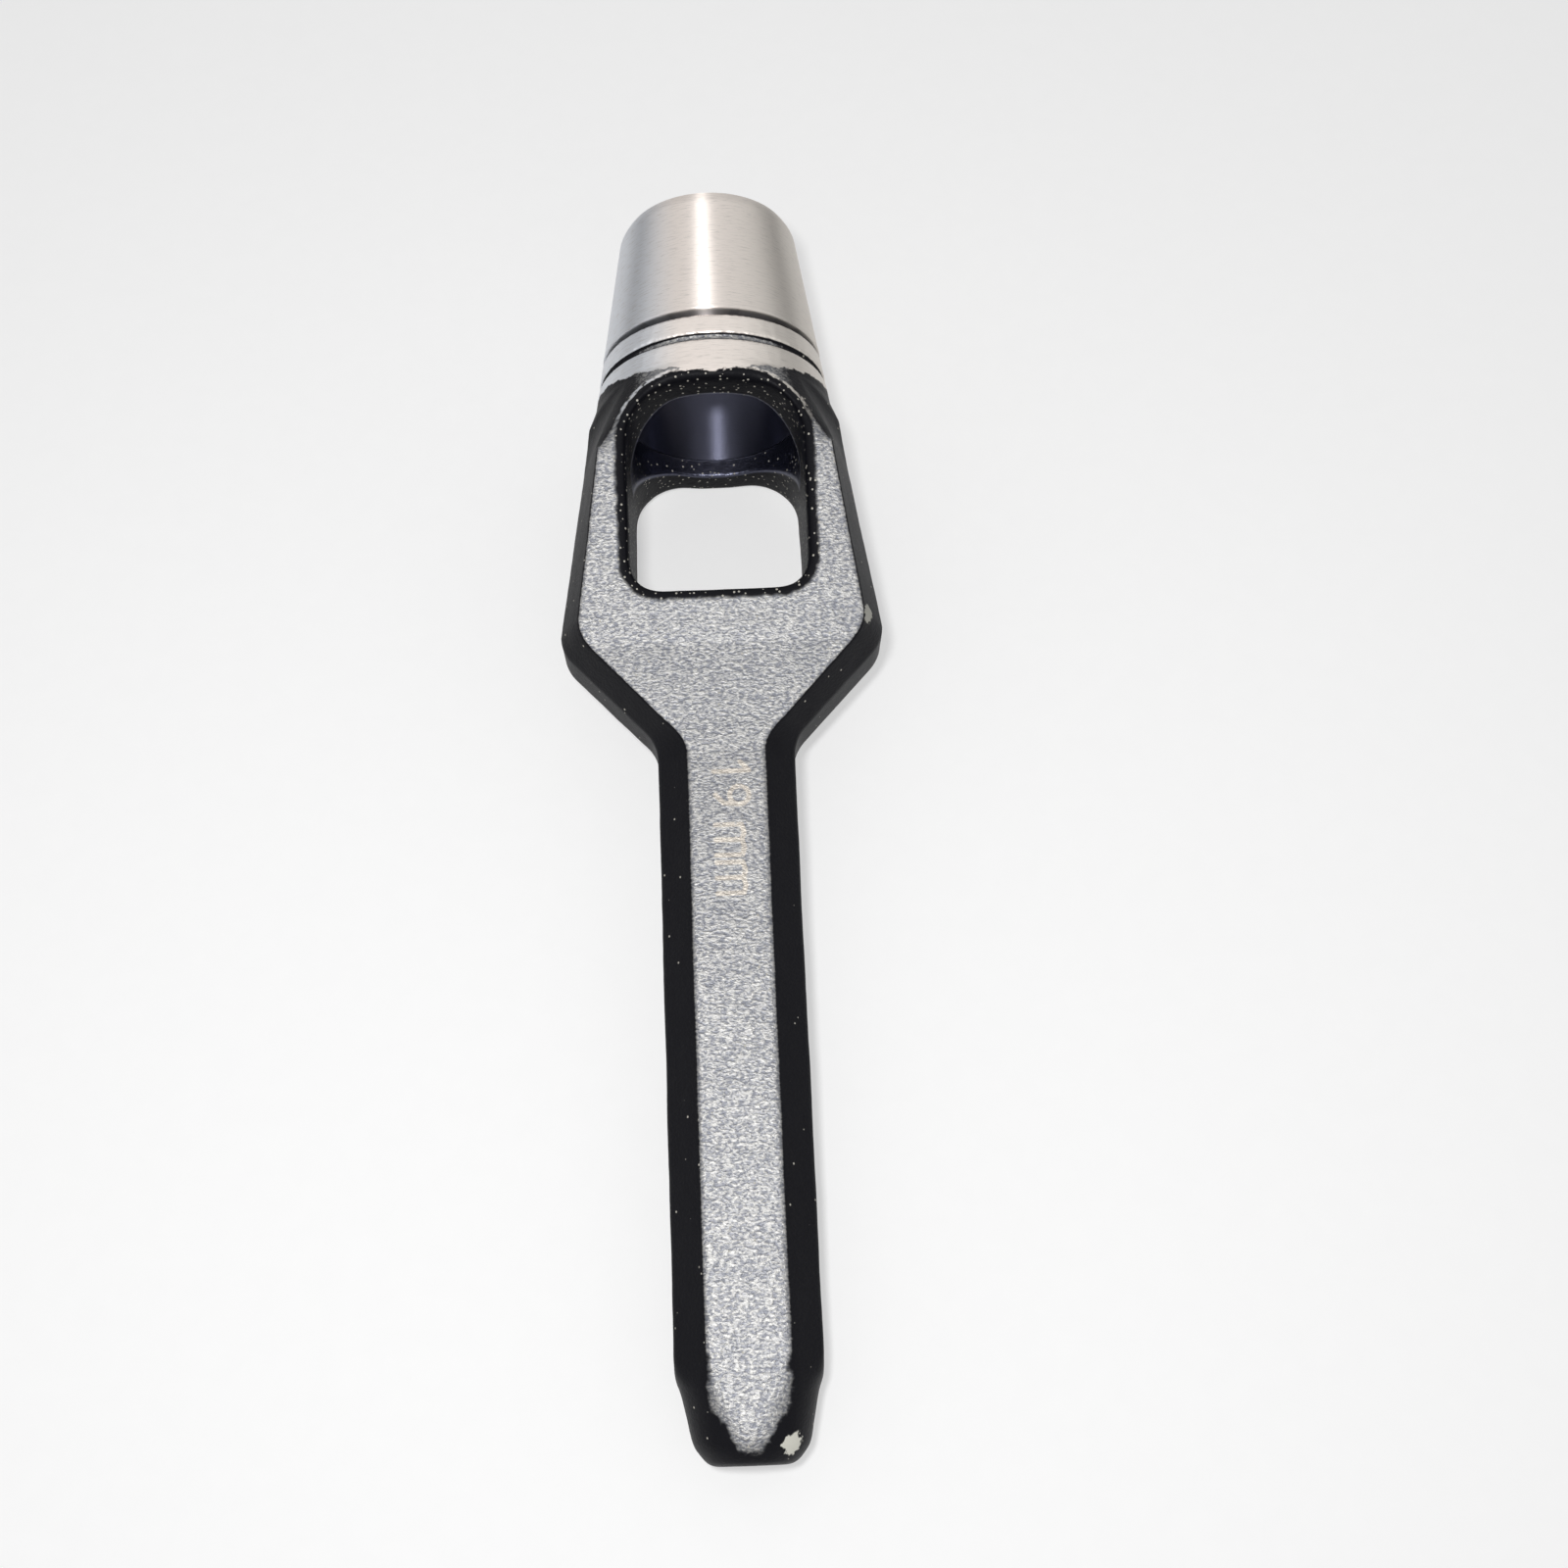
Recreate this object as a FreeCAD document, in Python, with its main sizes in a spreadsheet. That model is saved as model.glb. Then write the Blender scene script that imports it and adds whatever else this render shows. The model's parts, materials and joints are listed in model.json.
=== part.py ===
import FreeCAD, Part
import math
import os
import re

import Sketcher

# Hollow arch punch, 19 mm: a forged striking handle whose arch carries a tapered cutting tube.
# Both sub-parts are drawn with the tool axis along +Y, from the struck end at Y = 0. Their
# Placement then puts the middle of the tool over the origin, with the collar resting on Z = 0.

doc = FreeCAD.newDocument("hollow_punch")

sizes = {
    "overall_length": 138.0,
    # cutting tube: bore, honed edge, tapered nose and the spigot that seats in the collar
    "cutting_radius": 9.5,
    "cutting_land_length": 8.0,
    "bore_relief": 0.25,
    "edge_land": 0.08,
    "bevel_length": 1.8,
    "bevel_rise": 0.85,
    "nose_length": 17.0,
    "nose_root_wall": 3.1,
    "spigot_wall": 1.35,
    "spigot_length": 7.0,
    "seat_clearance": 0.03,
    # collar: the wall between the tube and the window, with its turned grooves
    "collar_length": 9.2,
    "groove_width": 0.9,
    "groove_depth": 0.4,
    "groove_land": 2.4,
    "blend_length": 9.0,
    "blend_height": 3.2,
    # window that lets the cut slugs out
    "window_clearance": 0.1,
    "window_length": 22.3,
    "window_rear_corner": 3.0,
    "window_front_corner": 6.0,
    # arch and shoulders
    "cheek_width": 8.05,
    "web_length": 3.0,
    "shoulder_half_thick": 7.6,
    "side_land": 2.6,
    "head_chamfer": 2.3,
    "arch_front_length": 8.5,
    "collar_chamfer": 8.0,
    "collar_step": 0.1,
    "shoulder_angle": 43.0,
    "shoulder_radius": 4.5,
    "shoulder_rise": 0.6,
    "neck_radius": 5.0,
    "neck_rise": 0.2,
    # striking handle: an octagonal bar with a dressed end
    "grip_half_width": 7.35,
    "grip_half_thick": 6.0,
    "grip_chamfer": 3.4,
    "dressing_length": 7.2,
    "dressing_depth": 0.45,
    "crown_length": 1.8,
    "crown_depth": 1.6,
    "struck_face_radius": 4.2,
}

# Sizes that follow from the driving ones, written as formulas of the sheet.
derived = {
    "nose_root": "overall_length - nose_length",
    "nose_root_radius": "cutting_radius + nose_root_wall",
    "nose_slope": "(nose_root_wall - edge_land - bevel_rise) / (nose_length - bevel_length)",
    "relief_radius": "cutting_radius + bore_relief",
    "spigot_radius": "relief_radius + spigot_wall",
    "spigot_seat": "nose_root - spigot_length",
    "seat_radius": "nose_root_radius + nose_slope * spigot_length",
    "collar_face": "nose_root - groove_width",
    "second_groove": "collar_face - groove_land",
    "window_front": "nose_root - collar_length",
    "window_rear": "window_front - window_length",
    "window_half_width": "cutting_radius + window_clearance",
    "collar_rear_radius": "nose_root_radius + nose_slope * collar_length",
    "collar_land": "seat_radius - collar_chamfer",
    "head_half_width": "window_half_width + cheek_width",
    "shoulder_station": "window_rear - web_length",
    "arch_length": "spigot_seat - shoulder_station",
    "arch_narrowing": "head_half_width - seat_radius - collar_step",
    "arch_thickening": "seat_radius - shoulder_half_thick",
    "bend_width": "(shoulder_radius + neck_radius) * (1 - cos(shoulder_angle))",
    "bend_length": "(shoulder_radius + neck_radius) * sin(shoulder_angle)",
    "shoulder_run": "(head_half_width - grip_half_width - bend_width) / tan(shoulder_angle)",
    "grip_length": "shoulder_station - bend_length - shoulder_run",
}


def makeSheet():
    """Write every driving size and every derived one as a cell with an alias."""
    sheet = doc.addObject("Spreadsheet::Sheet", "sizes")
    cells = [(name, f"{value}") for name, value in sizes.items()]
    cells += [(name, f"={formula}") for name, formula in derived.items()]
    for row, (name, content) in enumerate(cells, start=1):
        sheet.set(f"A{row}", name)
        sheet.set(f"B{row}", content)
        sheet.setAlias(f"B{row}", name)
    doc.recompute()


def sizeOf(name):
    return doc.getObject("sizes").get(name)


def bound(formula):
    """Turn a formula of size names into an expression that reads them from the sheet."""
    names = set(sizes) | set(derived)
    return re.sub(r"[a-z_]+", lambda word: f"sizes.{word[0]}" if word[0] in names else word[0], formula)


def makeBody(label):
    body = doc.addObject("PartDesign::Body", label)
    body.Label = label
    body.setExpression("Placement.Base.y", bound("-overall_length / 2"))
    body.setExpression("Placement.Base.z", bound("collar_rear_radius"))
    return body


def originPlane(body, role):
    return next(item for item in body.Origin.OriginFeatures if item.Role == role)


def makeSketch(body, name, role):
    sketch = body.newObject("Sketcher::SketchObject", name)
    sketch.AttachmentSupport = [(originPlane(body, role), "")]
    sketch.MapMode = "FlatFace"
    return sketch


def drawPolygon(sketch, corners):
    """Draw a closed polygon whose corners sit at (across, up) formulas of the sheet."""
    count = len(corners)
    turn = 2 * math.pi / count
    start = [FreeCAD.Vector(30 * math.cos(i * turn), 30 * math.sin(i * turn), 0) for i in range(count)]
    for index in range(count):
        sketch.addGeometry(Part.LineSegment(start[index], start[(index + 1) % count]))
    for index in range(count):
        sketch.addConstraint(Sketcher.Constraint("Coincident", index, 2, (index + 1) % count, 1))
    for index, (across, up) in enumerate(corners):
        placeCorner(sketch, "DistanceX", -2, index, across)
        placeCorner(sketch, "DistanceY", -1, index, up)


def placeCorner(sketch, kind, axis, index, formula):
    """Hold a corner on an axis for a formula of 0, or at a distance from it."""
    if formula == "0":
        sketch.addConstraint(Sketcher.Constraint("PointOnObject", index, 1, axis))
        return
    constraint = sketch.addConstraint(Sketcher.Constraint(kind, -1, 1, index, 1, 1.0))
    sketch.setExpression(f"Constraints[{constraint}]", bound(formula))


def octagonSketch(body, name, station, width, thick, chamfer, land="side_land"):
    """Draw the eight-sided section at one station; its upright sides reach up to the land."""
    sketch = makeSketch(body, name, "XZ_Plane")
    sketch.setExpression("AttachmentOffset.Base.z", bound(f"-({station})"))
    inner = f"{width} - ({chamfer})"
    quarter = [(width, land), (inner, thick)]
    corners = quarter + [(f"-({across})", up) for across, up in reversed(quarter)]
    corners += [(f"-({across})", f"-({up})") for across, up in corners]
    drawPolygon(sketch, corners)
    return sketch


def turned(body, kind, name, corners):
    """Revolve a polygon of (radius, station) formulas about the tool axis."""
    sketch = makeSketch(body, f"{name}_profile", "XY_Plane")
    drawPolygon(sketch, corners)
    feature = body.newObject(f"PartDesign::{kind}", name)
    feature.Profile = sketch
    feature.ReferenceAxis = (sketch, ["V_Axis"])
    feature.Angle = 360
    return feature


def coneRadius(station):
    """Give the formula of the ground cone's radius at a station."""
    return f"nose_root_radius + nose_slope * (nose_root - ({station}))"


def gripPad(body):
    section = octagonSketch(body, "grip_section", "0", "grip_half_width", "grip_half_thick", "grip_chamfer")
    pad = body.newObject("PartDesign::Pad", "grip")
    pad.Profile = section
    pad.Reversed = True
    pad.setExpression("Length", bound("grip_length"))


def bendSections(turn, station, width, thick, chamfer):
    """List three sections round a bend, each given by its turn as a share of the shoulder angle."""
    sections = []
    for share in turn:
        angle = f"shoulder_angle * {share}"
        sections.append([item.replace("ANGLE", angle) for item in (station, width, thick, chamfer)])
    return sections


def neckSections():
    return bendSections((0, 0.5, 1), "grip_length + neck_radius * sin(ANGLE)",
                        "grip_half_width + neck_radius * (1 - cos(ANGLE))",
                        "grip_half_thick + neck_rise * ANGLE / shoulder_angle",
                        "grip_chamfer + (head_chamfer - grip_chamfer) * ANGLE / shoulder_angle")


def shoulderSections():
    return bendSections((1, 0.5, 0), "shoulder_station - shoulder_radius * sin(ANGLE)",
                        "head_half_width - shoulder_radius * (1 - cos(ANGLE))",
                        "shoulder_half_thick - shoulder_rise * ANGLE / shoulder_angle", "head_chamfer")


def archSection(run, chamfer, land):
    """Give a section on the straight sides of the arch, which narrow and thicken to the collar."""
    share = f"({run}) / arch_length"
    width = f"head_half_width - arch_narrowing * {share}"
    thick = f"shoulder_half_thick + arch_thickening * {share}"
    return [f"shoulder_station + {run}", width, thick, chamfer, land]


def loftHead(body):
    """Loft the head from the grip to the collar, curved round its bends and ruled between them."""
    neck = drawSections(body, "neck_section", neckSections())
    shoulder = drawSections(body, "shoulder_section", shoulderSections())
    arch = drawSections(body, "arch_section", [
        archSection("arch_length - arch_front_length", "head_chamfer", "side_land"),
        archSection("arch_length - arch_front_length / 2", "head_chamfer * 0.65 + collar_chamfer * 0.35",
                    "side_land * 0.65 + collar_land * 0.35"),
        archSection("arch_length", "collar_chamfer", "collar_land"),
    ])
    addLoft(body, "neck", neck, False)
    addLoft(body, "shoulders", [neck[-1], shoulder[0]], True)
    addLoft(body, "shoulder_bend", shoulder, False)
    addLoft(body, "arch_sides", [shoulder[-1], arch[0]], True)
    addLoft(body, "arch_front", arch, False)


def drawSections(body, name, sections):
    return [octagonSketch(body, f"{name}_{index}", *section) for index, section in enumerate(sections, start=1)]


def addLoft(body, name, sketches, ruled):
    loft = body.newObject("PartDesign::AdditiveLoft", name)
    loft.Profile = sketches[0]
    loft.Sections = sketches[1:]
    loft.Ruled = ruled


def windowSketch(body):
    """Draw the slug window: straight sides, tighter corners at the rear than at the collar."""
    sketch = makeSketch(body, "window_profile", "XY_Plane")
    half, rear, front = (sizeOf(f"window_{name}") for name in ("half_width", "rear", "front"))
    small, large = sizeOf("window_rear_corner"), sizeOf("window_front_corner")
    corners = [(1, rear + small, small, 270), (1, front - large, large, 0),
               (-1, front - large, large, 90), (-1, rear + small, small, 180)]
    arcs = []
    for side, station, radius, start in corners:
        centre = FreeCAD.Vector(side * (half - radius), station, 0)
        circle = Part.Circle(centre, FreeCAD.Vector(0, 0, 1), radius)
        arc = Part.ArcOfCircle(circle, math.radians(start), math.radians(start + 90))
        arcs.append(sketch.addGeometry(arc))
    lines = []
    for index in range(4):
        first = sketch.Geometry[arcs[index]].EndPoint
        second = sketch.Geometry[arcs[(index + 1) % 4]].StartPoint
        lines.append(sketch.addGeometry(Part.LineSegment(first, second)))
    for index in range(4):
        sketch.addConstraint(Sketcher.Constraint("Tangent", arcs[index], 2, lines[index], 1))
        sketch.addConstraint(Sketcher.Constraint("Tangent", lines[index], 2, arcs[(index + 1) % 4], 1))
    for line, kind in zip(lines, ("Vertical", "Horizontal", "Vertical", "Horizontal")):
        sketch.addConstraint(Sketcher.Constraint(kind, line))
    sketch.addConstraint(Sketcher.Constraint("Equal", arcs[1], arcs[2]))
    sketch.addConstraint(Sketcher.Constraint("Symmetric", lines[0], 1, lines[2], 2, -2))
    bindSize(sketch, Sketcher.Constraint("Radius", arcs[0], small), "window_rear_corner")
    bindSize(sketch, Sketcher.Constraint("Radius", arcs[1], large), "window_front_corner")
    bindSize(sketch, Sketcher.Constraint("DistanceX", -1, 1, lines[0], 1, half), "window_half_width")
    bindSize(sketch, Sketcher.Constraint("DistanceY", -1, 1, lines[3], 1, rear), "window_rear")
    bindSize(sketch, Sketcher.Constraint("DistanceY", -1, 1, lines[1], 1, front), "window_front")
    return sketch


def bindSize(sketch, constraint, formula):
    index = sketch.addConstraint(constraint)
    sketch.setExpression(f"Constraints[{index}]", bound(formula))


def cutWindow(body):
    window = body.newObject("PartDesign::Pocket", "window")
    window.Profile = windowSketch(body)
    window.Type = "ThroughAll"
    window.SideType = "Symmetric"


def forgedBody():
    body = makeBody("forged_body")
    gripPad(body)
    loftHead(body)
    turned(body, "Revolution", "collar", [
        ("spigot_radius / 2", "window_front - window_front_corner / 2"),
        (coneRadius("window_front - window_front_corner / 2"), "window_front - window_front_corner / 2"),
        (coneRadius("collar_face"), "collar_face"),
        ("spigot_radius / 2", "collar_face"),
    ])
    turned(body, "Groove", "nose_blend", [
        (f"{coneRadius('spigot_seat')} + blend_height", "spigot_seat - blend_length"),
        (coneRadius("spigot_seat"), "spigot_seat"),
        (coneRadius("collar_face + 1"), "collar_face + 1"),
        ("head_half_width * 2", "collar_face + 1"),
        ("head_half_width * 2", "spigot_seat - blend_length"),
    ])
    turned(body, "Groove", "struck_end", [
        ("struck_face_radius", "-1"),
        ("struck_face_radius", "0"),
        ("grip_half_width - crown_depth", "crown_length"),
        ("grip_half_width - dressing_depth", "dressing_length"),
        ("grip_half_width * 2", "dressing_length * 3"),
        ("grip_half_width * 2", "-1"),
    ])
    cutWindow(body)
    turned(body, "Groove", "spigot_bore", [
        ("0", "window_front - window_front_corner"),
        ("relief_radius", "window_front - window_front_corner"),
        ("relief_radius", "spigot_seat"),
        ("spigot_radius + seat_clearance", "spigot_seat"),
        ("spigot_radius + seat_clearance", "collar_face + 1"),
        ("0", "collar_face + 1"),
    ])
    turned(body, "Groove", "second_turned_groove", [
        (f"{coneRadius('second_groove')} - groove_depth", "second_groove"),
        (f"{coneRadius('second_groove')} - groove_depth", "second_groove - groove_width"),
        (f"{coneRadius('second_groove')} + 1", "second_groove - groove_width"),
        (f"{coneRadius('second_groove')} + 1", "second_groove"),
    ])
    doc.recompute()
    return body


def cuttingTube():
    body = makeBody("cutting_tube")
    turned(body, "Revolution", "tube", [
        ("cutting_radius", "overall_length"),
        ("cutting_radius + edge_land", "overall_length"),
        ("cutting_radius + edge_land + bevel_rise", "overall_length - bevel_length"),
        ("nose_root_radius", "nose_root"),
        ("spigot_radius", "nose_root"),
        ("spigot_radius", "spigot_seat"),
        ("relief_radius", "spigot_seat"),
        ("relief_radius", "overall_length - cutting_land_length - bore_relief"),
        ("cutting_radius", "overall_length - cutting_land_length"),
    ])
    doc.recompute()
    return body


def checkDocument(bodies):
    """Refuse to write anything if a feature failed or a sub-part's shape is unsound."""
    for item in doc.Objects:
        if "Invalid" in item.State or "Error" in item.State:
            raise RuntimeError(f"{item.Name} failed: {item.State}")
    for body in bodies:
        if body.Shape.isNull() or not body.Shape.isValid():
            raise RuntimeError(f"{body.Label} has no sound shape")


def writeParts(bodies):
    os.makedirs("parts", exist_ok=True)
    for body in bodies:
        body.Shape.exportStep(f"parts/{body.Label}.step")
        box = body.Shape.optimalBoundingBox(False)
        print(f"{body.Label}: {len(body.Shape.Solids)} solid, {body.Shape.Volume:.1f} mm3, "
              f"x {box.XMin:.2f}..{box.XMax:.2f} y {box.YMin:.2f}..{box.YMax:.2f} z {box.ZMin:.2f}..{box.ZMax:.2f}")


makeSheet()
bodies = [forgedBody(), cuttingTube()]
doc.recompute()
checkDocument(bodies)
writeParts(bodies)
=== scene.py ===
import json
import math

import bmesh
import bpy
import numpy as np
from mathutils import Matrix, Vector


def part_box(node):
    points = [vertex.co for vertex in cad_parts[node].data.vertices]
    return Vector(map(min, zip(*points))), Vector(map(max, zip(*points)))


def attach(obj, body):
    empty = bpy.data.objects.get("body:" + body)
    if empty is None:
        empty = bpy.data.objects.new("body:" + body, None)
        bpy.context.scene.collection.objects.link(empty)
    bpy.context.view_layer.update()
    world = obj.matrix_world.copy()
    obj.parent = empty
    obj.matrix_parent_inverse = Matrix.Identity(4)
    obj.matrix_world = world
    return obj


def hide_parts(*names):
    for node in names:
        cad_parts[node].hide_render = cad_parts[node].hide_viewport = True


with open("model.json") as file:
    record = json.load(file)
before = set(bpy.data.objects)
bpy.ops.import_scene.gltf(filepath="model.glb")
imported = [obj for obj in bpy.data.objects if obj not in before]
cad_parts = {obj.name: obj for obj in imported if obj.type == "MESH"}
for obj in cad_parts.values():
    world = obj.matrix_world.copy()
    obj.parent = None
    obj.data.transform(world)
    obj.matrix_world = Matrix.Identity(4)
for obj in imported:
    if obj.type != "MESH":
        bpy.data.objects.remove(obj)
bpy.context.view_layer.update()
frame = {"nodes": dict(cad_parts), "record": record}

mm = 0.001
scene = bpy.context.scene
bodyLow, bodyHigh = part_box("forged_body")
tubeLow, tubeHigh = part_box("cutting_tube")
axisHeight = (tubeLow.z + tubeHigh.z) / 2  # the tool's axis runs along Y at this height
struckY, seatY, tipY = bodyLow.y, tubeLow.y, tubeHigh.y
collarY = bodyHigh.y  # the collar's front face, where the tube's shoulder stands off it
slug = next(o["box_m"] for o in frame["record"]["physics"]["openings"] if o["name"] == "slug_window")


# node helpers; every material is read in object coordinates

def startMaterial(name):
    material = bpy.data.materials.new(name)
    material.use_nodes = True
    material.node_tree.nodes.clear()
    return material, material.node_tree


def addNode(tree, kind, settings=None, **sockets):
    node = tree.nodes.new("ShaderNode" + kind)
    for name, value in (settings or {}).items():
        setattr(node, name, value)
    for name, value in sockets.items():
        key = int(name[1:]) if name[0] == "n" and name[1:].isdigit() else name.replace("_", " ")
        socket = node.inputs[key]
        if isinstance(value, bpy.types.NodeSocket):
            tree.links.new(value, socket)
        else:
            socket.default_value = value
    return node


def calc(tree, operation, a, b=0.0, clamp=False):
    return addNode(tree, "Math", {"operation": operation, "use_clamp": clamp}, n0=a, n1=b).outputs[0]


def ramp(tree, value, low, high, start=0.0, end=1.0):
    node = addNode(tree, "MapRange", {"interpolation_type": "SMOOTHSTEP"}, Value=value,
                   From_Min=low, From_Max=high, To_Min=start, To_Max=end)
    return node.outputs[0]


def span(tree, value, edges, origin=0.0):
    # a ramp between two places given in millimetres from an origin
    return ramp(tree, value, origin + edges[0] * mm, origin + edges[1] * mm)


def product(tree, mask, *others):
    for other in others:
        mask = calc(tree, "MULTIPLY", mask, other)
    return mask


def without(tree, mask):
    return calc(tree, "SUBTRACT", 1.0, mask)


def centred(tree, value, size):
    # a noise between 0 and 1, moved to lie round zero
    return calc(tree, "MULTIPLY", calc(tree, "SUBTRACT", value, 0.5), size)


def distanceTo(tree, place, spot):
    return addNode(tree, "VectorMath", {"operation": "DISTANCE"}, n0=place, n1=spot).outputs[1]

def blendColours(tree, factor, first, second):
    node = addNode(tree, "Mix", {"data_type": "RGBA"}, Factor=factor)
    for index, value in ((6, first), (7, second)):
        if isinstance(value, bpy.types.NodeSocket):
            tree.links.new(value, node.inputs[index])
        else:
            node.inputs[index].default_value = (*value, 1)
    return node.outputs[2]


def blendValues(tree, factor, first, second):
    node = addNode(tree, "Mix", {"data_type": "FLOAT"}, Factor=factor, n2=first, n3=second)
    return node.outputs[0]


def noise(tree, place, size, detail=2.0, rough=0.5, distortion=0.0):
    node = addNode(tree, "TexNoise", None, Vector=place, Scale=1 / (size * mm), Detail=detail,
                   Roughness=rough, Distortion=distortion)
    return node.outputs[0]


def stretched(tree, place, scale):
    node = addNode(tree, "Mapping", None, Vector=place)
    node.inputs["Scale"].default_value = scale
    return node.outputs[0]


def axisPlace(tree):
    # object position, its three parts, distance from the tool's axis and angle round it
    place = addNode(tree, "TexCoord").outputs["Object"]
    split = addNode(tree, "SeparateXYZ", None, n0=place).outputs
    rise = calc(tree, "SUBTRACT", split[2], axisHeight)
    across = calc(tree, "MULTIPLY", split[0], split[0])
    squares = calc(tree, "ADD", across, calc(tree, "MULTIPLY", rise, rise))
    return place, split, calc(tree, "SQRT", squares), calc(tree, "ARCTAN2", split[0], rise)


# ground steel: scratches run round the axis, so they are fine along it and long round the angle

steelLook = {
    # the left, middle and right tones paint light from the left and shade on the right
    "left": (0.75, 0.77, 0.81), "middle": (0.82, 0.75, 0.70), "right": (0.70, 0.66, 0.61),
    "leftToMiddle": (-8, -3), "middleToRight": (-1, 9),  # where the tones meet, across the tool
    "scratch": (0.50, 0.47, 0.44), "blued": (0.125, 0.130, 0.180),
    "roughness": 0.36, "roughnessSpread": 0.18, "scratchWidth": 0.13, "scratchDepth": 0.016,
    "scratchTurn": 0.0009, "scratchLevels": (0.50, 0.30), "scratchShare": 0.7, "boreMarks": 0.045,
    "boreRadius": (10.3, 9.9), "boreStation": (-5, -9),  # the station counts from the tip
    "grooveRadius": (12.35, 12.1), "grooveStation": (0.1, -0.2),  # the station counts from the nose's end
    "anisotropy": 1.0, "quarterTurn": 0.25,
}


def brushing(tree, split, angle, look):
    turn = calc(tree, "MULTIPLY", angle, look["scratchTurn"])
    lines = addNode(tree, "CombineXYZ", None, n0=turn, n1=split[1], n2=0.0)
    return noise(tree, lines.outputs[0], look["scratchWidth"], 4.0, 0.65)


def steelColour(tree, split, fine, look):
    # partly painted light: lighter on the left and darker on the right, standing in for light falling from the
    # left; the cool to warm tint across the tool is a guessed heat and grinding tint
    colour = blendColours(tree, span(tree, split[0], look["leftToMiddle"]), look["left"], look["middle"])
    colour = blendColours(tree, span(tree, split[0], look["middleToRight"]), colour, look["right"])
    scratched = ramp(tree, fine, *look["scratchLevels"], 0.0, look["scratchShare"])
    return blendColours(tree, scratched, colour, look["scratch"])


def steelRoughness(tree, fine, look):
    spread = look["roughnessSpread"]
    return calc(tree, "ADD", calc(tree, "MULTIPLY", fine, spread), look["roughness"] - spread / 2)


def steelMaterial(look, shape):
    material, tree = startMaterial("ground_steel")
    split, reach, angle = axisPlace(tree)[1:]
    fine = brushing(tree, split, angle, look)
    noseEnd = tipY - shape["noseLength"] * mm
    blued = product(tree, span(tree, reach, look["boreRadius"]),
                    span(tree, split[1], look["boreStation"], tipY))
    groove = product(tree, span(tree, reach, look["grooveRadius"]),
                     span(tree, split[1], look["grooveStation"], noseEnd))
    dark = calc(tree, "MAXIMUM", blued, groove)
    colour = blendColours(tree, dark, steelColour(tree, split, fine, look), look["blued"])
    bump = addNode(tree, "Bump", None, Strength=1.0, Distance=look["scratchDepth"] * mm, Height=fine)
    tangent = addNode(tree, "Tangent", {"direction_type": "RADIAL", "axis": "Y"})
    shader = addNode(tree, "BsdfPrincipled", None, Base_Color=colour, Metallic=1.0,
                     Roughness=steelRoughness(tree, fine, look), Normal=bump.outputs[0],
                     Tangent=tangent.outputs[0], Anisotropic=look["anisotropy"],
                     Anisotropic_Rotation=look["quarterTurn"])
    addNode(tree, "OutputMaterial", None, Surface=shader.outputs[0])
    return material


# cutting tube: a turned ring with a honed edge; sizes in millimetres, stations back from the tip

tubeShape = {
    "rings": 288, "boreRadius": 9.5, "landLength": 8.0, "boreRelief": 0.25, "smoothAngle": 35,
    "edgeRadius": 9.58, "bevelRadius": 10.43, "bevelLength": 1.8, "bevelCurve": 1.5,
    "boreHone": (0.03, 0.05), "edgeHone": 0.02,  # the honed edge, (out, back) at the bore's mouth
    "rootRadius": 12.6, "noseLength": 17.0, "spigotRadius": 11.1, "shoulderRound": 0.25,
    "bevelSteps": 8, "coneSteps": 60, "roundSteps": 6,
}


def tubeProfile(shape):
    # closed section as (radius, station back from the tip)
    bore, edge, root, nose = (shape[name] for name in ("boreRadius", "edgeRadius", "rootRadius", "noseLength"))
    bevel, turn, hone = shape["bevelLength"], shape["shoulderRound"], shape["edgeHone"]
    length = (tipY - seatY) / mm
    slope = (root - shape["bevelRadius"]) / (nose - bevel)
    outline = [(bore, shape["boreHone"][1]), (bore + shape["boreHone"][0], 0.0), (edge - hone, 0.0)]
    for step in range(shape["bevelSteps"] + 1):  # the bevel runs into the cone without a sharp line
        share = step / shape["bevelSteps"]
        lift = (shape["bevelRadius"] - edge) * (1 - (1 - share) ** shape["bevelCurve"])
        outline.append((edge + lift, hone + (bevel - hone) * share))
    for step in range(1, shape["coneSteps"]):
        back = bevel + (nose - bevel - turn) * step / shape["coneSteps"]
        outline.append((shape["bevelRadius"] + slope * (back - bevel), back))
    for step in range(shape["roundSteps"] + 1):
        angle = step / shape["roundSteps"] * math.pi / 2
        outline.append((root - turn * (1 - math.cos(angle)), nose - turn * (1 - math.sin(angle))))
    relief, land = bore + shape["boreRelief"], shape["landLength"]
    outline += [(shape["spigotRadius"], nose), (shape["spigotRadius"], length), (relief, length)]
    outline += [(relief, land + shape["boreRelief"]), (bore, land)]
    return outline


def turnedPiece(name, profile, rings):
    mesh = bmesh.new()
    loops = []
    for ring in range(rings):
        turn = 2 * math.pi * ring / rings
        across, up = math.sin(turn) * mm, math.cos(turn) * mm
        loops.append([mesh.verts.new((radius * across, tipY - back * mm, axisHeight + radius * up))
                      for radius, back in profile])
    for ring in range(rings):
        here, after = loops[ring], loops[(ring + 1) % rings]
        for index in range(len(profile)):
            following = (index + 1) % len(profile)
            mesh.faces.new((here[index], here[following], after[following], after[index]))
    bmesh.ops.recalc_face_normals(mesh, faces=mesh.faces)
    data = bpy.data.meshes.new(name)
    mesh.to_mesh(data)
    mesh.free()
    piece = bpy.data.objects.new(name, data)
    scene.collection.objects.link(piece)
    return piece


def smoothShade(piece, angle):
    piece.data.shade_smooth()
    piece.data.set_sharp_from_angle(angle=math.radians(angle))


tube = turnedPiece("turned_cutting_tube", tubeProfile(tubeShape), tubeShape["rings"])
smoothShade(tube, tubeShape["smoothAngle"])
tube.data.materials.append(steelMaterial(steelLook, tubeShape))
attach(tube, "root")
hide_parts("cutting_tube")
print("cutting tube turned,", len(tube.data.vertices), "points")


# forging: handle, shoulders, arch and collar in one piece; sizes in millimetres

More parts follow.
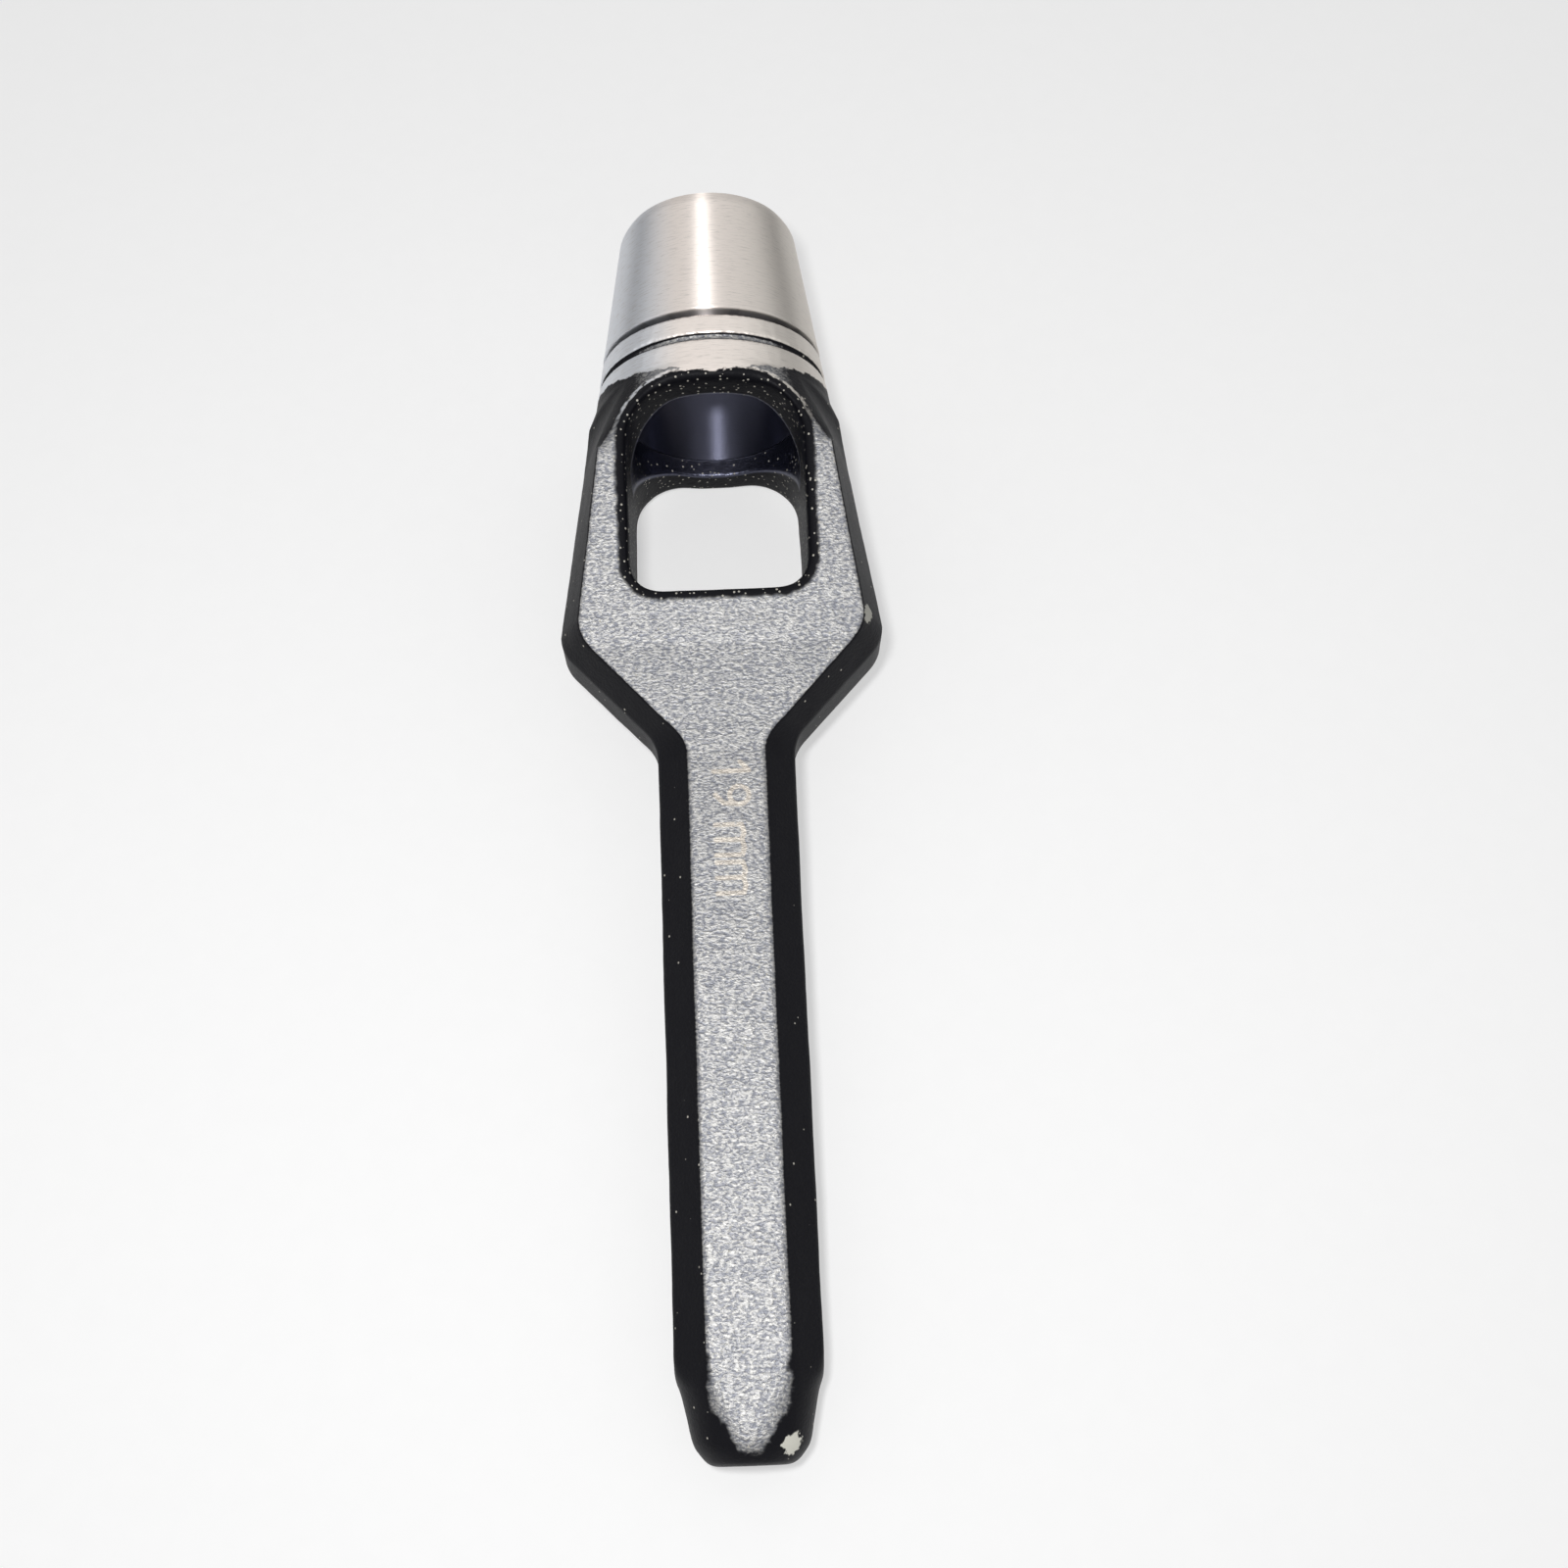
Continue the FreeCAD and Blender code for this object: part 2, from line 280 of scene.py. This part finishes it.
forgingShape = {
    "voxel": 0.21, "smoothing": 0.5, "edgePasses": 8, "rimPasses": 150, "keepFaces": 0.37,
    "windowHalf": 9.6, "rearCorner": 3.0, "frontCorner": 6.0,
    "windowRear": slug[0][1] / mm - 0.8, "windowFront": slug[1][1] / mm + 2.6,
    "rimReach": 2.2, "rimFade": (0.0, 0.8),  # the rim is rounded this far out from the window's edge
    "edgesEnd": (-8.0, -6.6), "rimEnd": (-7.0, -6.0),  # counted from the collar's face
    "boreWall": (10.1, 10.7), "boreEnd": (4, 6),  # left sharp; the end counts from the window's rear
    "marksWall": (10.0, 10.6), "marksEnd": (-8, -5),  # the end counts from the window's front
    "struckShare": 0.6, "struckEnd": (8.5, 10.5),  # counted from the struck end
    "dieMarks": ((9.0, 0.12), (2.2, 0.05)),  # (size, height) of the unevenness left by the dies
}


def modify(piece, kind, **settings):
    modifier = piece.modifiers.new(kind.lower(), kind)
    for name, value in settings.items():
        setattr(modifier, name, value)


def applyAll(piece):
    graph = bpy.context.evaluated_depsgraph_get()
    data = bpy.data.meshes.new_from_object(piece.evaluated_get(graph))
    piece.modifiers.clear()
    piece.data = data


def pointsOf(piece):
    place = np.empty(len(piece.data.vertices) * 3)
    piece.data.vertices.foreach_get("co", place)
    return place.reshape(-1, 3)


def fade(value, low, high):
    share = np.clip((value - low) / (high - low), 0, 1)
    return share * share * (3 - 2 * share)


def fadeFrom(value, origin, edges):
    return fade(value, origin + edges[0], origin + edges[1])


def paintGroup(piece, name, weights):
    group = piece.vertex_groups.new(name=name)
    levels = np.round(np.clip(weights, 0, 1) * 20).astype(int)
    for level in range(1, 21):
        group.add(np.nonzero(levels == level)[0].tolist(), level / 20, "REPLACE")


def windowDistance(x, y, shape):
    # distance outside the window's edge, seen from above
    middle = (shape["windowRear"] + shape["windowFront"]) / 2
    half = (shape["windowFront"] - shape["windowRear"]) / 2
    corner = np.where(y > middle, shape["frontCorner"], shape["rearCorner"])
    across = np.abs(x) - (shape["windowHalf"] - corner)
    along = np.abs(y - middle) - (half - corner)
    outside = np.hypot(np.maximum(across, 0), np.maximum(along, 0))
    return outside + np.minimum(np.maximum(across, along), 0) - corner


def paintForging(piece, shape):
    # where the edges are smoothed, where they are rounded off and where the dies left marks
    x, y, z = (pointsOf(piece) / mm).T
    reach = np.hypot(x, z - axisHeight / mm)
    face, rear, front = collarY / mm, shape["windowRear"], shape["windowFront"]
    behindCollar = 1 - fadeFrom(y, face, shape["edgesEnd"])
    nearWindow = 1 - fadeFrom(windowDistance(x, y, shape), shape["rimReach"], shape["rimFade"])
    outsideBore = np.maximum(fadeFrom(reach, 0, shape["boreWall"]), 1 - fadeFrom(y, rear, shape["boreEnd"]))
    rim = nearWindow * outsideBore * (1 - fadeFrom(y, face, shape["rimEnd"]))
    rolled = shape["struckShare"] * (1 - fadeFrom(y, struckY / mm, shape["struckEnd"]))  # by use
    marked = behindCollar * fadeFrom(reach, 0, shape["marksWall"])
    paintGroup(piece, "edges", behindCollar)
    paintGroup(piece, "rim", np.maximum(rim, rolled))
    paintGroup(piece, "rough", marked + behindCollar * (1 - fadeFrom(y, front, shape["marksEnd"])))


def makeForging(shape):
    piece = bpy.data.objects.new("forged_handle_and_arch", frame["nodes"]["forged_body"].data.copy())
    scene.collection.objects.link(piece)
    modify(piece, "WELD", merge_threshold=1e-6)
    modify(piece, "REMESH", mode="VOXEL", voxel_size=shape["voxel"] * mm)
    applyAll(piece)
    paintForging(piece, shape)
    modify(piece, "SMOOTH", factor=shape["smoothing"], iterations=shape["edgePasses"], vertex_group="edges")
    modify(piece, "SMOOTH", factor=shape["smoothing"], iterations=shape["rimPasses"], vertex_group="rim")
    for size, height in shape["dieMarks"]:
        texture = bpy.data.textures.new("dieMarks", "CLOUDS")
        texture.noise_scale = size * mm
        texture.noise_depth = 1
        modify(piece, "DISPLACE", texture=texture, texture_coords="LOCAL", strength=height * mm,
               mid_level=0.5, vertex_group="rough")
    modify(piece, "DECIMATE", ratio=shape["keepFaces"])
    applyAll(piece)
    inside = np.clip(pointsOf(piece), np.array(bodyLow), np.array(bodyHigh))
    piece.data.vertices.foreach_set("co", inside.ravel())
    return piece


# black coat, with the collar's lands ground bare through it

coatLook = {
    # the sheen colours paint a highlight on the coated flats
    "black": (0.004, 0.004, 0.006), "sheen": (0.155, 0.160, 0.180), "sheenLight": (0.365, 0.360, 0.350),
    "chip": (0.66, 0.65, 0.58), "dust": (0.46, 0.44, 0.39), "mark": (0.52, 0.46, 0.38),
    "blackRoughness": 0.46, "sheenRoughness": 0.50, "boreRoughness": 0.30, "dustRoughness": 0.7,
    "specular": 0.10, "boreStation": (-14.6, -13.6),  # counted from the collar's face
    "grainSize": 0.26, "grainStretch": (0.56, 1.0, 0.8), "grainDepth": 0.125, "blackGrain": 0.35,
    "sheenFacing": (0.74, 0.86), "sheenLoose": 0.10, "sheenLevels": (0.35, 0.65),
    "rimBand": 1.25, "rimSoft": 0.25, "rimRagged": 0.6,
    "taperSlope": 0.7, "taperHalf": 3.9, "taperLength": 10, "taperEdge": (0.25, -0.35), "taperRagged": 1.6,
    "lineStart": (0.95, 1.10), "lineEnd": (1.55, 1.30), "lineGaps": (0.32, 0.55),
    "lineStation": (-13.5, -9.5), "lineRise": (5, 7),  # from the collar's face, and above the axis
    "dustSpecks": (1.3, 0.5, 0.11), "rimSpecks": (0.62, 0.8, 0.12), "rimDust": (2.0, 1.2),
    "chipPlace": (4.1, 1.7, 4.2), "chipSize": 1.35,  # places are across, from the struck end, above the axis
    "wornPlace": (15.8, 86.4, 6.3), "wornSize": 1.1, "wornShare": 0.55,
    "markStroke": 0.26, "markSoft": 0.25, "markShare": 0.5,
}

# the collar's ground lands; the ragged line counts from the collar's face
landLook = {
    "slope": 0.1428, "rootRadius": 12.6, "rootAhead": 0.9, "depth": (-0.22, -0.10),
    "lineTop": -7.55, "lineSide": 3.5, "lineSoft": (-0.1, 0.1), "raggedSize": 1.1, "ragged": 1.4,
}

# the size mark "19 mm" as strokes and one ring; (across, station from the struck end)
markStrokes = [((-1.4, 69.2), (2.3, 69.2)), ((2.3, 69.2), (1.4, 70.2)), ((1.2, 65.5), (-0.5, 65.7)),
               ((-0.5, 65.7), (-1.3, 66.6))]
for start in (63.3, 59.2):
    markStrokes += [((-1.4, start - step), (1.3, start - step)) for step in (0.0, 1.65, 3.3)]
    markStrokes += [((1.3, start), (1.55, start - 0.9)), ((1.55, start - 0.9), (1.3, start - 1.65))]
    markStrokes += [((1.3, start - 1.65), (1.55, start - 2.5)), ((1.55, start - 2.5), (1.3, start - 3.3))]
markRing = ((1.2, 66.5), 1.0)


def bareCollar(tree, place, split, reach, angle, look):
    # everything at the cone's full height in front of a ragged line
    behind = calc(tree, "SUBTRACT", collarY, split[1])
    faceRadius = look["rootRadius"] * mm + look["rootAhead"] * look["slope"] * mm
    groundRadius = calc(tree, "ADD", calc(tree, "MULTIPLY", behind, look["slope"]), faceRadius)
    onLand = span(tree, calc(tree, "SUBTRACT", reach, groundRadius), look["depth"])
    upright = calc(tree, "ABSOLUTE", calc(tree, "COSINE", angle))
    side = calc(tree, "SQRT", without(tree, upright))
    lag = calc(tree, "MULTIPLY", side, look["lineSide"] * mm)
    edge = calc(tree, "ADD", lag, collarY + look["lineTop"] * mm)
    ragged = centred(tree, noise(tree, place, look["raggedSize"], 4.0, 0.65), look["ragged"] * mm)
    ahead = calc(tree, "SUBTRACT", split[1], calc(tree, "ADD", edge, ragged))
    return product(tree, onLand, span(tree, ahead, look["lineSoft"]))


def windowBand(tree, split, shape):
    # distance outside the window's edge, seen from above
    middle = (shape["windowRear"] + shape["windowFront"]) / 2
    half = (shape["windowFront"] - shape["windowRear"]) / 2
    ahead = calc(tree, "GREATER_THAN", split[1], middle * mm)
    corner = blendValues(tree, ahead, shape["rearCorner"] * mm, shape["frontCorner"] * mm)
    beside = calc(tree, "SUBTRACT", calc(tree, "ABSOLUTE", split[0]), shape["windowHalf"] * mm)
    away = calc(tree, "ABSOLUTE", calc(tree, "SUBTRACT", split[1], middle * mm))
    across = calc(tree, "ADD", beside, corner)
    along = calc(tree, "ADD", calc(tree, "SUBTRACT", away, half * mm), corner)
    outer = [calc(tree, "POWER", calc(tree, "MAXIMUM", part, 0.0), 2.0) for part in (across, along)]
    reach = calc(tree, "SQRT", calc(tree, "ADD", outer[0], outer[1]))
    within = calc(tree, "MINIMUM", calc(tree, "MAXIMUM", across, along), 0.0)
    return calc(tree, "SUBTRACT", calc(tree, "ADD", reach, within), corner)


def flatPlace(tree, split):
    # position on the handle's flat, across and along from the struck end
    station = calc(tree, "SUBTRACT", split[1], struckY)
    return addNode(tree, "CombineXYZ", None, n0=split[0], n1=station, n2=0.0).outputs[0]


def strokeDistance(tree, place, start, end):
    first, last = Vector((*start, 0)) * mm, Vector((*end, 0)) * mm
    run = last - first
    offset = addNode(tree, "VectorMath", {"operation": "SUBTRACT"}, n0=place, n1=first).outputs[0]
    dot = addNode(tree, "VectorMath", {"operation": "DOT_PRODUCT"}, n0=offset, n1=run).outputs[1]
    share = calc(tree, "DIVIDE", dot, run.length_squared, clamp=True)
    nearest = addNode(tree, "VectorMath", {"operation": "SCALE"}, n0=run, Scale=share).outputs[0]
    return distanceTo(tree, offset, nearest)


def markMask(tree, split, place, look):
    flat = flatPlace(tree, split)
    (across, along), radius = markRing
    far = distanceTo(tree, flat, Vector((across, along, 0)) * mm)
    near = calc(tree, "ABSOLUTE", calc(tree, "SUBTRACT", far, radius * mm))
    for start, end in markStrokes:
        near = calc(tree, "MINIMUM", near, strokeDistance(tree, flat, start, end))
    stroke, soft = look["markStroke"], look["markSoft"]
    inked = span(tree, near, (stroke * (1 + soft), stroke * (1 - soft)))
    return product(tree, inked, ramp(tree, noise(tree, place, 0.5, 2.0), 0.18, 0.42))


def specks(tree, place, cell, share, radius):
    dots = addNode(tree, "TexVoronoi", None, Vector=place, Scale=1 / (cell * mm), Randomness=1.0)
    picked = addNode(tree, "SeparateColor", None, n0=dots.outputs["Color"]).outputs[0]
    dot = ramp(tree, dots.outputs["Distance"], radius * 1.2 / cell, radius * 0.8 / cell)
    return product(tree, dot, ramp(tree, picked, 1 - share, 1.02 - share))


def flakeMask(tree, place, spot, size):
    # a flake of coat gone from round one spot
    across, station, rise = spot
    far = distanceTo(tree, place, (across * mm, struckY + station * mm, axisHeight + rise * mm))
    ragged = centred(tree, noise(tree, place, 0.9, 4.0, 0.65), 1.6 * size * mm)
    return span(tree, calc(tree, "ADD", far, ragged), (size, size * 0.86))


def paintedSheenMask(tree, split, grain, pebble, rim, look):
    # painted sheen: the flats facing up or down get a light speckled metallic colour that stands in for glare
    # on the black coat, and it stops short of the window's rim
    facing = addNode(tree, "SeparateXYZ", None, n0=addNode(tree, "TexCoord").outputs["Normal"]).outputs[2]
    level = calc(tree, "ADD", calc(tree, "ABSOLUTE", facing), centred(tree, grain, look["sheenLoose"]))
    band, soft = look["rimBand"], look["rimSoft"]
    # it narrows to the struck end
    station = calc(tree, "SUBTRACT", split[1], struckY)
    taper = calc(tree, "MINIMUM", calc(tree, "MULTIPLY", station, look["taperSlope"]), look["taperHalf"] * mm)
    beyond = calc(tree, "SUBTRACT", station, look["taperLength"] * mm)
    taper = calc(tree, "ADD", taper, calc(tree, "MAXIMUM", beyond, 0.0))
    past = calc(tree, "SUBTRACT", calc(tree, "ABSOLUTE", split[0]), taper)
    past = calc(tree, "ADD", past, centred(tree, pebble, look["taperRagged"] * mm))
    return product(tree, ramp(tree, level, *look["sheenFacing"]), span(tree, rim, (band - soft, band + soft)),
                   span(tree, past, look["taperEdge"]))


def wornLine(tree, place, split, rim, look):
    # a thin bright line where the coat is worn through between the rim and the ground collar
    rise = calc(tree, "SUBTRACT", split[2], axisHeight)
    return product(tree, span(tree, rim, look["lineStart"]), span(tree, rim, look["lineEnd"]),
                   span(tree, split[1], look["lineStation"], collarY),
                   ramp(tree, noise(tree, place, 0.7, 3.0), *look["lineGaps"]),
                   span(tree, rise, look["lineRise"]))


def coatMaterial(look, land, steel, shape):
    material, tree = startMaterial("black_coat")
    place, split, reach, angle = axisPlace(tree)
    fine = brushing(tree, split, angle, steel)
    grain = noise(tree, stretched(tree, place, look["grainStretch"]), look["grainSize"], 2.0, 0.55, 0.4)
    pebble = noise(tree, place, look["grainSize"] * 4, 2.0)
    band = windowBand(tree, split, shape)
    rim = calc(tree, "ADD", band, centred(tree, pebble, look["rimRagged"] * mm))

    # masks, each 1 where its surface shows
    bare = bareCollar(tree, place, split, reach, angle, land)
    inBore = product(tree, span(tree, reach, steel["boreRadius"]),
                     span(tree, split[1], look["boreStation"], collarY))
    paintedSheen = product(tree, paintedSheenMask(tree, split, grain, pebble, rim, look), without(tree, inBore))
    rubbed = calc(tree, "MAXIMUM", bare, wornLine(tree, place, split, rim, look))
    rimDust = product(tree, specks(tree, place, *look["rimSpecks"]), span(tree, band, look["rimDust"]))
    dust = calc(tree, "MAXIMUM", specks(tree, place, *look["dustSpecks"]), rimDust)
    dust = product(tree, dust, without(tree, bare))
    shoulder = product(tree, flakeMask(tree, place, look["wornPlace"], look["wornSize"]), look["wornShare"])
    chip = calc(tree, "MAXIMUM", flakeMask(tree, place, look["chipPlace"], look["chipSize"]), shoulder)
    covered = calc(tree, "MAXIMUM", dust, chip)

    # painted highlight: light grey speckle where the painted sheen covers the flats
    sheen = blendColours(tree, ramp(tree, grain, *look["sheenLevels"]), look["sheen"], look["sheenLight"])
    colour = blendColours(tree, paintedSheen, look["black"], sheen)
    marked = product(tree, markMask(tree, split, place, look), paintedSheen, look["markShare"])
    colour = blendColours(tree, marked, colour, look["mark"])
    colour = blendColours(tree, inBore, colour, steel["blued"])
    colour = blendColours(tree, rubbed, colour, steelColour(tree, split, fine, steel))
    colour = blendColours(tree, dust, colour, look["dust"])
    colour = blendColours(tree, chip, colour, look["chip"])

    metal = calc(tree, "MAXIMUM", calc(tree, "MAXIMUM", paintedSheen, inBore), rubbed)
    metal = product(tree, metal, without(tree, covered))
    rough = blendValues(tree, paintedSheen, look["blackRoughness"], look["sheenRoughness"])
    rough = blendValues(tree, inBore, rough, look["boreRoughness"])
    rough = blendValues(tree, rubbed, rough, steelRoughness(tree, fine, steel))
    rough = blendValues(tree, covered, rough, look["dustRoughness"])
    grainDepth = blendValues(tree, paintedSheen, look["grainDepth"] * look["blackGrain"], look["grainDepth"])
    turnedDepth = blendValues(tree, inBore, steel["scratchDepth"], steel["boreMarks"])
    height = blendValues(tree, calc(tree, "MAXIMUM", rubbed, inBore), product(tree, grain, grainDepth),
                         product(tree, fine, turnedDepth))
    bump = addNode(tree, "Bump", None, Strength=1.0, Distance=mm, Height=height)
    shader = addNode(tree, "BsdfPrincipled", None, Base_Color=colour, Metallic=metal, Roughness=rough,
                     Specular_IOR_Level=look["specular"], Normal=bump.outputs[0])
    addNode(tree, "OutputMaterial", None, Surface=shader.outputs[0])
    return material


forging = makeForging(forgingShape)
forging.data.shade_smooth()
forging.data.materials.clear()
forging.data.materials.append(coatMaterial(coatLook, landLook, steelLook, forgingShape))
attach(forging, "root")
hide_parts("forged_body")
print("forging made,", len(forging.data.polygons), "faces")


# floor: pale, tilted to lie along the collar and the handle's end, which presses 0.2 mm into it

floorLook = {
    "size": 3.0, "cells": 8, "colour": 0.96, "toneSpread": 0.01, "speckle": 3.0, "whiteShare": 0.50,
    "collarRest": 6.5, "handleRest": 6.5,  # counted from the collar's face and from the struck end
    "handleLift": 7.913,
}


def floorMaterial(look):
    material, tree = startMaterial("pale_floor")
    speckle = noise(tree, addNode(tree, "TexCoord").outputs["Object"], look["speckle"], 3.0)
    tones = look["colour"] - look["toneSpread"], look["colour"] + look["toneSpread"]
    tone = ramp(tree, speckle, 0.2, 0.8, *tones)
    grey = addNode(tree, "CombineColor", None, n0=tone, n1=tone, n2=tone)
    paint = addNode(tree, "BsdfDiffuse", None, Color=grey.outputs[0])
    glow = addNode(tree, "Emission", None, Strength=1.0)
    seen = calc(tree, "MULTIPLY", addNode(tree, "LightPath").outputs["Is Camera Ray"], look["whiteShare"])
    both = addNode(tree, "MixShader", None, Fac=seen, n1=paint.outputs[0], n2=glow.outputs[0])
    addNode(tree, "OutputMaterial", None, Surface=both.outputs[0])
    return material


def makeFloor(look):
    mesh = bmesh.new()
    bmesh.ops.create_grid(mesh, x_segments=look["cells"], y_segments=look["cells"], size=look["size"])
    data = bpy.data.meshes.new("floor")
    mesh.to_mesh(data)
    mesh.free()
    floor = bpy.data.objects.new("floor", data)
    scene.collection.objects.link(floor)
    restY = collarY - look["collarRest"] * mm
    run = restY - (struckY + look["handleRest"] * mm)
    tilt = math.atan2(look["handleLift"] * mm, run)
    floor.matrix_world = Matrix.Translation((0, restY, 0)) @ Matrix.Rotation(-tilt, 4, "X")
    data.materials.append(floorMaterial(look))


makeFloor(floorLook)


# light: one soft lamp close above the camera, and an even pale surround

lightLook = {
    "lampPlace": (-18, -52, 232), "lampSize": 20, "lampEnergy": 0.30, "aim": (0, 10, 14),
    "fill": 0.42, "mirrorHigh": 1.0, "mirrorLow": 0.38, "mirrorEdge": (-0.05, 0.55),
}


def pointAt(thing, place, target):
    thing.location = Vector(place) * mm
    thing.rotation_mode = "QUATERNION"
    thing.rotation_quaternion = (Vector(target) - Vector(place)).to_track_quat("-Z", "Y")


def makeLamp(look):
    lamp = bpy.data.lights.new("soft_lamp", "AREA")
    lamp.shape = "DISK"
    lamp.size = look["lampSize"] * mm
    lamp.energy = look["lampEnergy"]
    holder = bpy.data.objects.new("soft_lamp", lamp)
    scene.collection.objects.link(holder)
    pointAt(holder, look["lampPlace"], look["aim"])


def makeSurround(look):
    world = bpy.data.worlds.new("surround")
    scene.world = world
    world.use_nodes = True
    tree = world.node_tree
    tree.nodes.clear()
    rays = addNode(tree, "LightPath").outputs
    way = addNode(tree, "SeparateXYZ", None, n0=addNode(tree, "TexCoord").outputs["Generated"]).outputs
    mirror = ramp(tree, way[2], *look["mirrorEdge"], look["mirrorLow"], look["mirrorHigh"])
    level = blendValues(tree, rays["Is Glossy Ray"], look["fill"], mirror)
    level = blendValues(tree, rays["Is Transmission Ray"], level, 1.0)
    level = blendValues(tree, rays["Is Camera Ray"], level, 1.0)
    back = addNode(tree, "Background", None, Color=(1, 1, 1, 1), Strength=level)
    addNode(tree, "OutputWorld", None, Surface=back.outputs[0])


makeLamp(lightLook)
makeSurround(lightLook)


# camera: above the struck end, looking down and towards the tip

cameraLook = {
    "place": (0, -66.05, 215.29), "tilt": 18.35, "roll": -2.15,
    "lens": 45, "sensor": 36, "shift": 0.0361, "clip": (0.005, 20),
}


def makeCamera(look):
    data = bpy.data.cameras.new("camera")
    data.lens, data.sensor_width, data.shift_x = look["lens"], look["sensor"], look["shift"]
    data.clip_start, data.clip_end = look["clip"]
    camera = bpy.data.objects.new("camera", data)
    scene.collection.objects.link(camera)
    tilt = Matrix.Rotation(math.radians(look["tilt"]), 4, "X")
    roll = Matrix.Rotation(math.radians(look["roll"]), 4, "Z")
    camera.matrix_world = Matrix.Translation(Vector(look["place"]) * mm) @ (tilt @ roll)
    scene.camera = camera


makeCamera(cameraLook)
scene.view_settings.view_transform = "Standard"
print("floor, light and camera placed")
